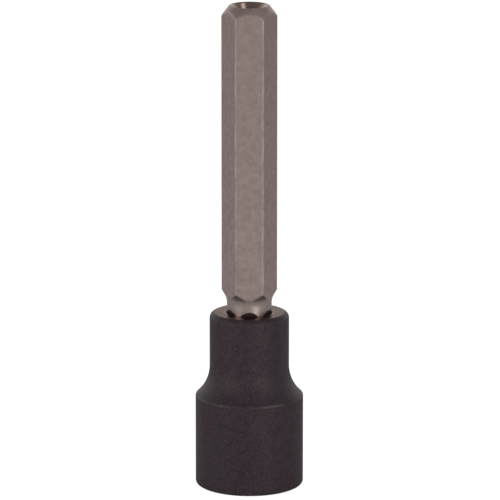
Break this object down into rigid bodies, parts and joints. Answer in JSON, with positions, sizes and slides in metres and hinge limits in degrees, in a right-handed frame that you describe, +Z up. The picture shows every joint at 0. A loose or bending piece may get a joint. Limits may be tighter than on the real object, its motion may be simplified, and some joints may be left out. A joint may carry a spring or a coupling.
{
  "type": "hex bit socket",
  "caption": "Long hollow-tipped hex bit locked by a set screw in a stepped round socket body with a square drive recess, for driving tamper-resistant hex socket screws.",
  "frame": {"origin": "centre of the drive face, the flat ring round the square recess that the part stands on", "axes": "+Z up the common axis of body and bit, towards the tip; -Y out of the bit's flat that the picture shows; +Y out of the set screw's key socket"},
  "size_m": [0.0224, 0.0224, 0.1012],
  "materials": {
    "black_oxide_steel": "black oxide, satin, slightly mottled",
    "bare_tool_steel": "bare tool steel, matt, drawn along the bar",
    "black_screw_steel": "black oxide, satin"
  },
  "bodies": {
    "body": {"socket_body": "black_oxide_steel"},
    "bit": {"hex_bit": "bare_tool_steel"},
    "screw": {"set_screw": "black_screw_steel"}
  },
  "joints": [
    {"name": "bit_pull_out", "type": "slide", "parent": "body", "child": "bit", "axis": [0, 0, 1], "range_m": [0, 0.017]},
    {"name": "screw_back_out", "type": "slide", "parent": "body", "child": "screw", "axis": [0, 1, 0], "range_m": [0, 0.0021]}
  ]
}
